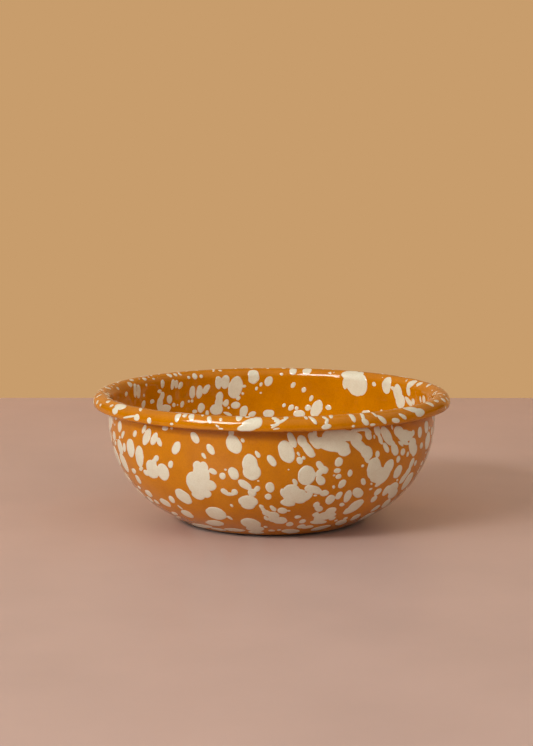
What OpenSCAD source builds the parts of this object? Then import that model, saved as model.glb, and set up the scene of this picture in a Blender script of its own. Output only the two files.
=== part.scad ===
/* [Bowl] */
// Diameter across the rolled rim
rim_d = 159; // [144:1:176]
// Height from the table to the top of the rim
height = 58; // [53:0.5:80]
// How far the rim stands out past the wall
rim_overhang = 6.8; // [4:0.1:10]
// Radius of the wall's curve, on the outside
wall_curve_r = 45.9; // [38:0.1:49]
// Outside diameter of the ring that the bowl stands on
foot_d = 75; // [60:0.5:86]
// Rounding between the standing ring and the wall, on the outside
foot_round_r = 5; // [3:0.1:8]
// Width of the flat standing ring
foot_ring_w = 4; // [2:0.5:8]
// Width of the slope between the standing ring and the raised middle
base_slope_w = 4.5; // [4:0.5:8]
// How far the middle of the base is pushed up
base_lift = 1; // [0.4:0.1:1.6]

/* [Rim] */
// Straight drop of the rim's outer face, under its half round
lip_drop = 0.7; // [0.2:0.1:3]
// Rounding of the rim's lower outer edge
lip_corner_r = 1; // [0.4:0.1:2]
// Gap between the turned-in edge and the wall
lip_gap = 0.5; // [0.3:0.1:2]

/* [Enamel] */
// Thickness of the steel sheet
steel_t = 0.6; // [0.4:0.05:1]
// Thickness of the dark ground coat
ground_t = 0.1; // [0.06:0.01:0.2]
// Thickness of the mustard cover coat
cover_t = 0.25; // [0.15:0.01:0.4]
// Thickness of the cream spatter
spatter_t = 0.12; // [0.08:0.01:0.25]
// Length that the splashes' own lengths and widths are shares of
largest_splash = 20; // [14:0.5:24]
// Diameter of the marks left by the firing pins
pin_mark_d = 2; // [1:0.1:4]
// Diameter of the circle that the firing pins stood on
pin_circle_d = 48; // [30:1:54]

/* [Hidden] */
$fn = 200;

steel_color = "#6f7276";
ground_color = "#2b211b";
mustard = "#c98a14";
cream = "#e6d9bd";

// Depths below the food side, where one layer ends and the next begins
depth_cover = cover_t;
depth_ground = depth_cover + ground_t;
depth_steel = depth_ground + steel_t;
depth_ground_out = depth_steel + ground_t;
depth_all = depth_ground_out + cover_t;

// Radii and heights of the outline's main points
rim_r = rim_d / 2;
wall_r = rim_r - rim_overhang;
foot_r = foot_d / 2;
curl_r = (rim_overhang + depth_all) / 2;
curl_z = height - curl_r;
curl_mid_r = rim_r - curl_r;
lip_z = curl_z - lip_drop;
rim_bottom_z = lip_z - lip_corner_r;
lip_end_r = wall_r + lip_gap;
curve_mid = [wall_r - wall_curve_r, wall_curve_r];
foot_mid = [foot_r, foot_round_r];

// The straight cone between the foot's rounding and the wall's curve touches both
cone_slope = 2 * atan2(curve_mid[1] - foot_mid[1], curve_mid[0] - foot_mid[0]) - 180;
cone_normal = [sin(cone_slope), -cos(cone_slope)];
cone_top = curve_mid + wall_curve_r * cone_normal;
cone_end = foot_mid + foot_round_r * cone_normal;

// The cone's ends lie this far inside both rounds, so that the faces meet cleanly
cone_lap = 0.01;

// Where the standing ring ends and the slope under the base begins
slope_out_r = foot_r - foot_ring_w;

// Runs of the outside wall, from the rim's underside down: straight, curve and cone
straight_run = rim_bottom_z - curve_mid[1];
curve_run = wall_curve_r * (90 - cone_slope) * PI / 180;
wall_run = straight_run + curve_run + norm(cone_end - cone_top);

// How far a splash's prism reaches to both sides of the outline
splash_reach = curl_r + base_lift + depth_all;

// Splashes longer than this share of the largest one are repeated on the other sides
repeat_share = 40;

// Splashes, each: turn from the front, percent of the wall's run or degrees round the rim,
// then length and width in percent of the largest splash, and how far it leans

// On the outside wall, left of the middle of the front
left_shares = [
    [-78.5, 10, 55, 30, 20], [-76, 32, 45, 45, 0], [-75, 48.5, 45, 30, 10],
    [-72.2, 17, 30, 20, 20], [-72, 22, 20, 9, 20], [-66.6, 23, 35, 31, 90],
    [-67.4, 34.5, 45, 40, 80], [-65, 8.5, 28, 21, 60], [-62.3, 13, 24, 11, 45],
    [-57.4, 21, 46, 32, 70], [-62.4, 22, 24, 15, 60], [-59.8, 38, 22, 14, 20],
    [-59.5, 44.5, 25, 20, 60], [-64.2, 53, 20, 11, 20], [-58, 56, 32, 22, 25],
    [-63.3, 64, 30, 20, 30], [-57.4, 64, 21, 15, 30], [-56, 83.5, 45, 12, 30],
    [-48.2, 6, 25, 12, 55], [-46.9, 10.5, 43, 23, 57], [-52.3, 25.5, 55, 29, 68],
    [-46.2, 32.5, 45, 40, 60], [-53.4, 34, 22, 8, 25], [-50.8, 36.5, 20, 15, 0],
    [-48, 36.5, 30, 20, 170], [-49.3, 61.5, 34, 28, 10], [-51.4, 75.5, 28, 15, 30],
    [-43.2, 11, 33, 19, 55], [-40.7, 12.5, 20, 13, 125], [-43, 24, 20, 12, 35],
    [-36.7, 26.5, 20, 13, 60], [-44.6, 27.5, 22, 15, 60], [-41.2, 33.5, 42, 35, 60],
    [-35.4, 51.5, 45, 38, 110], [-42.9, 56.5, 26, 16, 65], [-40.5, 71, 36, 30, 60],
    [-44.4, 92.5, 80, 23, 15], [-26.1, 7, 26, 17, 125], [-33.6, 15, 32, 19, 55],
    [-26, 25.5, 28, 23, 80], [-27.1, 39.5, 65, 52, 95], [-28, 48.5, 31, 26, 0],
    [-28.7, 80.5, 52, 31, 25], [-32, 93.5, 40, 15, 0], [-20.4, 14, 27, 16, 124],
    [-23.3, 25.5, 23, 17, 100], [-24.4, 31.5, 43, 37, 100], [-22.3, 39.5, 30, 26, 20],
    [-15.2, 45, 25, 10, 0], [-24.7, 46, 26, 24, 30], [-23.7, 65.5, 51, 46, 60],
    [-21, 91.5, 50, 22, 5], [-12.4, 10, 41, 31, 118], [-7.2, 23, 47, 33, 97],
    [-6.6, 28, 38, 38, 0], [-12.9, 29.5, 30, 22, 110], [-9.4, 37, 33, 18, 140],
    [-6.9, 43.5, 21, 18, 100], [-8.8, 51, 42, 34, 0], [-9, 54.5, 30, 26, 0],
    [-9.6, 77, 55, 42, 100], [-8.6, 86, 40, 40, 90], [-8.9, 94, 32, 20, 0],
    [-0.6, 39, 26, 18, 100]
];

// On the outside wall, right of the middle of the front
right_shares = [
    [4.8, 14, 51, 32, 112], [0, 20, 28, 15, 122], [0.5, 57, 24, 11, 120],
    [4.1, 59.5, 22, 19, 150], [-1.9, 62.5, 28, 18, 120], [0.7, 64.5, 28, 24, 120],
    [-2.4, 68, 20, 8, 105], [0.4, 70, 25, 18, 120], [3.6, 71.5, 33, 30, 150],
    [13.2, 5.5, 23, 15, 115], [6.6, 6.5, 35, 15, 113], [10, 7.5, 28, 18, 115],
    [14.4, 8, 37, 21, 128], [12.1, 13.5, 39, 18, 124], [11.8, 30.5, 47, 38, 97],
    [13.9, 41, 30, 20, 160], [10.4, 44, 25, 20, 150], [7.1, 44, 48, 40, 100],
    [12, 47.5, 35, 23, 30], [10, 48.5, 35, 28, 150], [6, 52, 33, 20, 160],
    [13.7, 73.5, 21, 15, 90], [8.4, 77.5, 23, 16, 95], [14.7, 82, 26, 18, 95],
    [10.6, 91.5, 43, 28, 160], [19.6, 5, 37, 25, 0], [24, 5, 88, 24, 172],
    [19.4, 10.5, 75, 27, 163], [24, 11.5, 32, 17, 155], [24.6, 15, 31, 25, 150],
    [22.8, 22.5, 22, 20, 100], [16.2, 24, 21, 13, 135], [18, 27, 20, 15, 120],
    [17, 34.5, 27, 17, 125], [16.4, 42.5, 25, 16, 150], [19.3, 45, 21, 17, 170],
    [22.2, 51, 28, 21, 95], [18.8, 59, 25, 16, 130], [24.6, 63, 28, 25, 90],
    [23.4, 68, 48, 35, 0], [20.8, 70.5, 30, 23, 120], [22, 76.5, 42, 21, 165],
    [18.5, 84.5, 26, 23, 0], [30.6, 2.5, 45, 6, 178], [33.4, 3.5, 25, 9, 150],
    [33.9, 6.5, 22, 16, 125], [29.6, 7.5, 23, 18, 160], [30.9, 13.5, 65, 21, 142],
    [33.4, 17.5, 37, 25, 140], [33.8, 23, 20, 10, 125], [25.4, 38.5, 22, 18, 70],
    [34.2, 38.5, 22, 11, 128], [33.5, 47.5, 38, 22, 140], [25.5, 48, 22, 16, 85],
    [29.3, 49.5, 37, 18, 95], [34.6, 64, 37, 30, 40], [27.8, 72.5, 21, 15, 120],
    [27.2, 89, 45, 27, 25], [37.6, 4.5, 25, 16, 120], [42, 9, 52, 22, 128],
    [38.8, 9.5, 30, 10, 118], [41.8, 16.5, 29, 11, 128], [37.6, 30, 53, 38, 108],
    [44.5, 30.5, 38, 31, 80], [40, 35, 45, 38, 150], [43.2, 37, 45, 35, 55],
    [43.8, 49.5, 22, 20, 170], [44, 56, 21, 18, 120], [35.6, 60, 43, 35, 70],
    [42.8, 77, 36, 23, 110], [36.9, 82.5, 42, 27, 130], [48, 7.5, 35, 23, 160],
    [51, 10.5, 50, 27, 165], [54.2, 11.5, 30, 20, 0], [45.2, 15, 20, 11, 125],
    [51.7, 15.5, 30, 9, 160], [49.2, 15.5, 23, 6, 147], [46.3, 19, 33, 19, 135],
    [50.9, 35.5, 34, 28, 110], [52.9, 49.5, 45, 32, 150], [49, 50, 32, 22, 110],
    [51.7, 69, 25, 22, 90], [61.6, 11.5, 25, 21, 110], [56.8, 19, 40, 30, 120],
    [64, 21, 20, 15, 160], [58.6, 22.5, 30, 25, 120], [59.1, 32, 27, 20, 80],
    [58.5, 38, 25, 20, 80], [57.1, 42.5, 30, 23, 60], [63.2, 47, 50, 40, 110],
    [56, 55.5, 45, 28, 150], [58.5, 66, 45, 25, 140], [55.4, 82, 60, 35, 120],
    [67.7, 9.5, 30, 25, 130], [70.8, 20, 45, 35, 130]
];

// On the outer half of the rim, over the front
rim_shares = [
    [-56.4, 60, 42, 20, 0], [-57.8, 20, 25, 15, 0], [-45.6, 8, 17, 15, 0],
    [-46.2, 75, 20, 7, 135], [-70, 23, 11, 7, 0], [-66.5, 65, 18, 10, 0],
    [-61.5, 45, 13, 8, 20], [-75, 28, 15, 10, 0], [-40.2, 1, 13, 12, 90],
    [-29.9, 45, 24, 12, 95], [-27.8, 62, 12, 10, 90], [-25.3, 55, 25, 12, 110],
    [-19.2, 45, 22, 11, 115], [-16.3, 5, 11, 5, 150], [-22, 80, 13, 5, 110],
    [-15.3, -10, 12, 4, 0], [-10.1, 70, 22, 14, 95], [-7.4, 88, 13, 12, 90],
    [-4.4, 40, 30, 22, 85], [-7.2, 2, 42, 17, 4], [0.7, 70, 12, 10, 100],
    [1.5, 50, 12, 11, 100], [2.4, 35, 42, 7, 35], [4.4, 78, 15, 11, 80],
    [1, 18, 18, 4, 0], [1.5, -3, 15, 4, 10], [10.5, 75, 17, 8, 100],
    [12.4, 55, 30, 9, 117], [16.3, 62, 10, 7, 120], [16.7, 35, 15, 7, 60],
    [16.4, 2, 21, 10, 5], [18.7, 78, 18, 9, 70], [25.4, 55, 28, 11, 95],
    [29, 60, 25, 9, 80], [29.3, 14, 20, 12, 140], [31.8, -6, 15, 6, 0],
    [33.4, 65, 20, 6, 100], [35.5, 20, 28, 11, 135], [40.8, 2, 23, 11, 165],
    [44, 22, 24, 9, 145], [49.6, 62, 40, 20, 160], [52.7, 25, 35, 20, 0],
    [61.6, 65, 22, 17, 130], [68, 68, 20, 10, 0]
];

// Inside, round the back, from the top of the rim down
inside_shares = [
    [105, -10, 20, 12, 50], [104, 1.5, 22, 18, 0], [111.8, -8, 19, 14, 150],
    [107.6, 2.5, 16, 11, 60], [114, 6, 15, 15, 0], [116.9, -7, 32, 23, 140],
    [124.8, 2, 35, 25, 90], [117.6, 6, 35, 15, 20], [122.8, 7.5, 50, 40, 80],
    [118.5, 8, 20, 10, 0], [131, -4, 30, 27, 90], [131, -1.5, 40, 30, 90],
    [127.7, -1, 15, 10, 0], [137.4, -1.5, 13, 12, 0], [148.6, -8.5, 40, 25, 0],
    [145.4, -7.5, 28, 28, 90], [150.5, -7, 30, 20, 0], [150.6, -0.5, 30, 13, 90],
    [145.4, 0, 60, 58, 0], [164.6, 12.5, 16, 10, 115], [157.6, 18.5, 15, 12, 0],
    [162.3, 20, 50, 28, 75], [166.6, -8.5, 25, 23, 120], [171.9, -7.5, 22, 19, 90],
    [171.8, 3, 16, 11, 130], [167.5, 6.5, 14, 12, 120], [165.8, 19.5, 16, 13, 120],
    [172.4, 20, 18, 13, 130], [169.2, 24.5, 30, 18, 0], [181.2, 0.5, 24, 19, 115],
    [175.2, 18, 12, 10, 115], [181.2, 24.5, 28, 20, 0], [187, -4.5, 27, 27, 90],
    [187, -3, 35, 27, 90], [194.2, 4.5, 55, 35, 105], [194.2, 17.5, 22, 18, 0],
    [191, 23, 30, 20, 110], [187.8, 25, 20, 13, 150], [202.2, -10, 12, 6, 120],
    [199.6, -9.5, 9, 7, 0], [198.2, 0, 35, 23, 100], [201, 0, 32, 18, 85],
    [200.6, 11, 25, 20, 110], [201, 15, 30, 20, 100], [197.9, 15.5, 20, 14, 100],
    [202, 20, 33, 27, 0], [210.7, -6, 16, 12, 90], [213.4, -5, 9, 8, 0],
    [206, 4.5, 28, 16, 125], [209, 6, 31, 19, 95], [212, 6, 31, 18, 95],
    [208.4, 18, 25, 19, 115], [211.2, 20.5, 15, 10, 0], [221.4, -9, 16, 13, 60],
    [218.6, -8.5, 12, 9, 90], [217.6, 0, 20, 18, 0], [221, 0, 18, 15, 0],
    [222.7, 9.5, 22, 17, 90], [216.7, 14, 18, 12, 115], [224.8, 16, 35, 20, 0],
    [234.4, -8.5, 14, 11, 0], [225.8, -1.5, 13, 12, 0], [227.8, 2.5, 14, 10, 0],
    [226.4, 6.5, 25, 15, 120], [231.7, 9, 16, 12, 0], [227.6, 12, 35, 20, 100],
    [241.3, -10, 13, 9, 0], [244.9, -6.5, 19, 15, 0], [241.9, -5, 11, 8, 0],
    [241.2, 0, 30, 25, 0], [236.9, 10, 20, 15, 120], [249.4, -0.5, 16, 12, 0],
    [256, -6.5, 12, 8, 0]
];

// At the sides, where the other tables leave off
side_shares = [
    [83, 12, 44, 30, 60], [88, 30, 36, 30, 120], [96, 8, 40, 26, 100], [98, 24, 30, 22, 20],
    [84, 56, 46, 34, 30], [97, 46, 38, 30, 150], [91, 72, 40, 26, 10], [86, 88, 36, 20, 170]
];
// On the base, where the run goes on towards the middle
base_shares = [
    [10, 124, 38, 32, 20], [48, 130, 32, 28, 80], [78, 122, 32, 26, 140], [112, 127, 34, 28, 30],
    [145, 138, 44, 36, 60], [165, 123, 30, 24, 100], [198, 126, 36, 32, 150], [232, 124, 32, 26, 10],
    [262, 134, 40, 32, 70], [290, 124, 30, 28, 120], [322, 130, 34, 28, 40], [345, 146, 30, 26, 10]
];

// The filled outline up to a depth, from the axis to the wall
module filled(depth) {
    back = depth_all - depth;
    curve_r = wall_curve_r - back;
    round_r = foot_round_r - back;
    difference() {
        union() {
            intersection() {
                translate(curve_mid) circle(curve_r);
                square([rim_r, curve_mid[1]]);
            }
            translate(foot_mid) circle(round_r);
            polygon([
                [0, back],
                [foot_r, back],
                foot_mid + (round_r - cone_lap) * cone_normal,
                curve_mid + (curve_r - cone_lap) * cone_normal,
                curve_mid,
                [curve_mid[0] + curve_r, curve_mid[1]],
                [curve_mid[0] + curve_r, curl_z],
                [0, curl_z]
            ]);
        }
        // The raised middle of the base
        polygon([
            [0, -height],
            [0, back + base_lift],
            [slope_out_r - base_slope_w, back + base_lift],
            [slope_out_r, back],
            [slope_out_r, -height]
        ]);
    }
}

// A quarter of a ring, or of a disc where its thickness passes the radius
module quarter(outer_r, thick) {
    difference() {
        intersection() {
            circle(outer_r);
            square(outer_r);
        }
        if (outer_r > thick) circle(outer_r - thick);
    }
}

// The enamel that wraps the cut edge under the rim, up to a depth
module edge_cap(depth) {
    translate([lip_end_r, rim_bottom_z]) {
        square([depth_cover, depth_all]);
        if (depth > depth_cover) square([depth_ground, depth_ground_out]);
    }
}

// The rim up to a depth: half round, face, lower corner and turned-in edge
module rim_outline(depth) {
    translate([curl_mid_r, curl_z]) {
        quarter(curl_r, depth);
        mirror([1, 0]) quarter(curl_r, depth);
    }
    translate([rim_r - depth, lip_z]) square([depth, lip_drop]);
    translate([rim_r - lip_corner_r, lip_z]) mirror([0, 1]) quarter(lip_corner_r, depth);
    translate([lip_end_r, rim_bottom_z]) square([rim_r - lip_corner_r - lip_end_r, depth]);
    edge_cap(depth);
}

// The whole sheet between two depths
module layer(from, to) {
    rotate_extrude() difference() {
        union() {
            filled(to);
            rim_outline(to);
        }
        filled(from);
        if (from > 0) rim_outline(from);
    }
}

// Place and slope of the wall at a share of its run: radius, height, angle of the normal.
// Shares under zero go up the inside and round the rim, shares over 100 go in under the base.
function wall_at(share) =
    let (run = share * wall_run / 100)
    run < rim_bottom_z - curl_z ? curl_at(180 + (run + curl_z - rim_bottom_z) / curl_r * 180 / PI, 180)
    : run < straight_run ? [wall_r, rim_bottom_z - run, 0]
    : run < straight_run + curve_run ? curve_at((straight_run - run) / wall_curve_r * 180 / PI)
    : run < wall_run ? concat(
        cone_end + (wall_run - run) * [cos(cone_slope), sin(cone_slope)], [cone_slope - 90])
    : [cone_end[0] + wall_run - run, 0, -90];
function curve_at(angle) =
    concat(curve_mid + wall_curve_r * [cos(angle), sin(angle)], [angle]);
function curl_at(angle, turned = 0) =
    concat([curl_mid_r, curl_z] + curl_r * [cos(angle), sin(angle)], [angle - turned]);
function lip_at(angle) =
    angle < 0 ? [rim_r, curl_z + angle * PI / 180 * curl_r, 0] : curl_at(angle);

// An oval prism that stands across the outline; turns count from the front to the right
module splash(turn, place, long_share, wide_share, lean) {
    long = long_share * largest_splash / 100;
    wide = wide_share * largest_splash / 100;
    rotate([0, 0, turn - 90]) translate([place[0], 0, place[1]])
        rotate([0, 90 - place[2], 0])
            rotate([0, 0, 90 + lean]) translate([0, 0, -splash_reach])
                linear_extrude(2 * splash_reach) scale([long, wide]) circle(d = 1);
}

// Splashes of a table on the wall, or a turned and mirrored copy of its longer and lower ones
module wall_splashes(shares, least = 0, turned = 0, side = 1, below = -100) {
    for (s = shares) if (s[2] > least && s[1] > below)
        splash(turned + side * s[0], wall_at(s[1]), s[2], s[3], side * s[4]);
}
module rim_splashes(shares, least = 0, turned = 0, side = 1) {
    for (s = shares) if (s[2] > least)
        splash(turned + side * s[0], lip_at(s[1]), s[2], s[3], side * s[4]);
}

// The skins that the splashes are cut from: outside wall, outer half of the rim, food side
module outside_skin() {
    rotate_extrude() intersection() {
        difference() {
            filled(depth_all + spatter_t);
            filled(depth_all);
        }
        translate([0, cone_end[1]]) square([rim_r, rim_bottom_z - cone_end[1]]);
    }
}
module rim_skin() {
    rotate_extrude() {
        translate([curl_mid_r, curl_z]) quarter(curl_r + spatter_t, spatter_t);
        translate([rim_r, lip_z]) square([spatter_t, lip_drop]);
        translate([rim_r - lip_corner_r, lip_z]) mirror([0, 1])
            quarter(lip_corner_r + spatter_t, spatter_t);
    }
}
module inside_skin() {
    rotate_extrude() {
        difference() {
            filled(0);
            filled(-spatter_t);
        }
        translate([curl_mid_r, curl_z]) mirror([1, 0]) quarter(curl_r + spatter_t, spatter_t);
    }
}

module steel_shell() {
    color(steel_color) layer(depth_ground, depth_steel);
}
module ground_coat_inside() {
    color(ground_color) layer(depth_cover, depth_ground);
}
module ground_coat_outside() {
    color(ground_color) layer(depth_steel, depth_ground_out);
}
module cover_coat_inside() {
    color(mustard) layer(0, depth_cover);
}
// The outside coat has three round marks under the base, where the firing pins kept it off
module cover_coat_outside() {
    color(mustard) difference() {
        layer(depth_ground_out, depth_all);
        for (turn = [90, 210, 330]) rotate(turn)
            translate([pin_circle_d / 2, 0, base_lift - cover_t])
                cylinder(h = 2 * cover_t, d = pin_mark_d);
    }
}
module spatter_rim() {
    color(cream) intersection() {
        rim_skin();
        union() {
            rim_splashes(rim_shares);
            rim_splashes(rim_shares, repeat_share / 2, 183);
        }
    }
}
module spatter_front_left() {
    color(cream) intersection() {
        outside_skin();
        union() wall_splashes(left_shares);
    }
}
module spatter_front_right() {
    color(cream) intersection() {
        outside_skin();
        union() wall_splashes(right_shares);
    }
}
module spatter_back() {
    color(cream) intersection() {
        outside_skin();
        union() {
            wall_splashes(left_shares, repeat_share, 180, -1);
            wall_splashes(right_shares, repeat_share, 180, -1);
            wall_splashes(side_shares);
            wall_splashes(side_shares, side = -1);
        }
    }
}
module spatter_inside_back() {
    color(cream) intersection() {
        inside_skin();
        union() {
            wall_splashes(inside_shares);
            wall_splashes(left_shares, repeat_share, 180, 1, 34);
            wall_splashes(right_shares, repeat_share, 180, 1, 34);
        }
    }
}
module spatter_inside_front() {
    color(cream) intersection() {
        inside_skin();
        union() {
            wall_splashes(inside_shares, repeat_share / 2, 183);
            wall_splashes(left_shares, repeat_share, 0, -1, 34);
            wall_splashes(right_shares, repeat_share, 0, -1, 34);
            wall_splashes(side_shares);
            wall_splashes(side_shares, side = -1);
            wall_splashes(base_shares);
        }
    }
}

steel_shell();
ground_coat_inside();
ground_coat_outside();
cover_coat_inside();
cover_coat_outside();
spatter_rim();
spatter_front_left();
spatter_front_right();
spatter_back();
spatter_inside_back();
spatter_inside_front();
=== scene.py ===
"""A small enamelled steel bowl with a rolled rim, mustard with cream splatter."""

import math

import bpy
import numpy as np
from mathutils import Matrix, Vector


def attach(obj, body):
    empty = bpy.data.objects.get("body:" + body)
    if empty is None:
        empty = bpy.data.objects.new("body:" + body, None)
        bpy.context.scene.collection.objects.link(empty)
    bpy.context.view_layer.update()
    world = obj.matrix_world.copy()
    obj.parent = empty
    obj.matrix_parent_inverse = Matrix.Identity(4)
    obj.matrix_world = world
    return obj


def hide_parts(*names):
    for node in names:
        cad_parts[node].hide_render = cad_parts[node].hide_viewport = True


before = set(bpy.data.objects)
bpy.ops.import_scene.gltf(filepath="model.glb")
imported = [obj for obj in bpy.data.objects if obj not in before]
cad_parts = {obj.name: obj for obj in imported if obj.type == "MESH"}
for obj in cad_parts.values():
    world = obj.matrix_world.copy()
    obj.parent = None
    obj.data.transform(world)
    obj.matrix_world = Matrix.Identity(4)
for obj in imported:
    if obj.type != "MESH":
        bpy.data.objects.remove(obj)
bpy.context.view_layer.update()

bl_info = {
    "name": "Splatter enamel bowl",
    "version": (1, 0, 0),
    "blender": (4, 5, 0),
    "location": "View3D > Sidebar > Bowl",
    "description": "Builds the enamel, the splatter and the stage of a rolled-rim bowl",
    "category": "Object",
}

MM = 0.001
SPATTER_OUTSIDE = ("spatter_front_left", "spatter_front_right", "spatter_back")
SPATTER_FOOD_SIDE = ("spatter_rim", "spatter_inside_back", "spatter_inside_front")
CREAM = "Cream vitreous enamel, splashed and fired"
GROUND_COAT = "#1D1613"

# The sheet's outlines, in mm: between points on an arc and on a line, what counts as the same
# point, and how much of the rim's underside the food side takes in
ARC_STEP = 0.05
LINE_STEP = 0.1
SAME_POINT = 1e-6
LIP_UNDERSIDE = 1

# The grids that the splashes are drawn on: degrees from column to column, and the width in mm of a
# column at the wall
TURN_STEP = 0.22
COLUMN_W = 0.27
# Mm from row to row: on the outside wall, on the rim and inside wall, and on the base
WALL_STEP = 0.28
RIM_STEP = 0.26
BASE_STEP = 0.3
# Mm that the outside's grid reaches down, and that the rim's starts before the curl's outer side
WALL_RUN = 68.3
UNDER_CURL = 1.9

# A splash, in mm: how far past its end an oval is felt, how softly ovals run into each other, how
# far in from its edge the film rounds, how deep the film starts in the coat, and its waves' grain
OVAL_MARGIN = 1.6
JOIN = 0.07
EDGE_ROUND = 0.75
SINK = 0.02
EDGE_GRAIN = 2.2
# The farthest out and in that an oval counts, in mm, so that its exponential stays finite
FARTHEST_OUT = -6
DEEPEST_IN = 9
# What keeps a division and a logarithm off zero
TINY_SHARE = 1e-9
TINY_TOTAL = 1e-12
# Share of a grid cell that keeps an edge's point off the cell's corner
CORNER_GAP = 0.04
# Mm within which the two ends of a film that goes all round are joined
SEAM_GAP = 0.004

# Drops by chance: mm of room between them, how often a place is tried, an exponent over 1 that makes
# small ones commoner, and the share that is made of two or three drops
DROP_GAP = 0.35
MOST_TRIES = 20000
SMALL_COMMONER = 1.4
JOINED_SHARE = 0.35
# Least and most of a drop's width as a share of its length, then of a joined drop's place and length
# as shares of the first one's length, and of the joined drop's own width
DROP_WIDTH = (0.55, 0.92)
PART_AWAY = (0.4, 0.6)
PART_LENGTH = (0.4, 0.8)
PART_WIDTH = (0.5, 0.9)

# The sides that the photograph hides repeat its splashes: a splash longer than this, in mm, counts
# as large, and rows turn by these degrees, so that no copy stands quite opposite
LARGE = 8
HALF_TURN = 183
# The outside's rows from this many mm down repeat inside, under what the photograph shows there, and
# move down by this
SEEN_INSIDE = 22
LOWER = 1.7
# Height in mm up to which the worn foot, whose dark band is also painted contact shade, has no splashes,
# the grain of the band's edge and how far it wanders, and the heights, with what it wanders added, where the
# coat starts to show and is whole
BARE_FOOT_AND_SHADE_LINE = 1.1
WEAR_AND_SHADE_GRAIN = 1.5
WEAR_AND_SHADE_WANDERS = 0.5
COAT_STARTS = 1.2
COAT_WHOLE = 1.4

# The stage, in metres: half the table's width, the boards' distance and height, and what the
# lights aim at above the table
TABLE_HALF = 3
BOARD_AWAY = 0.366
BOARD_H = 3
LIGHTS_AIM = 0.03
DAYLIGHT = (1.0, 0.98, 0.93)
WARM_BOUNCE = (1.0, 0.88, 0.74)
WINDOW_LIGHT = (1.0, 0.98, 0.95)
ROOM_STRENGTH = 0.66
# The camera: metres back and up, and degrees down and to the left
CAMERA_BACK = 0.9164
CAMERA_UP = 0.1914
LOOKS_DOWN = 7.80
LOOKS_LEFT = 0.147

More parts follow.
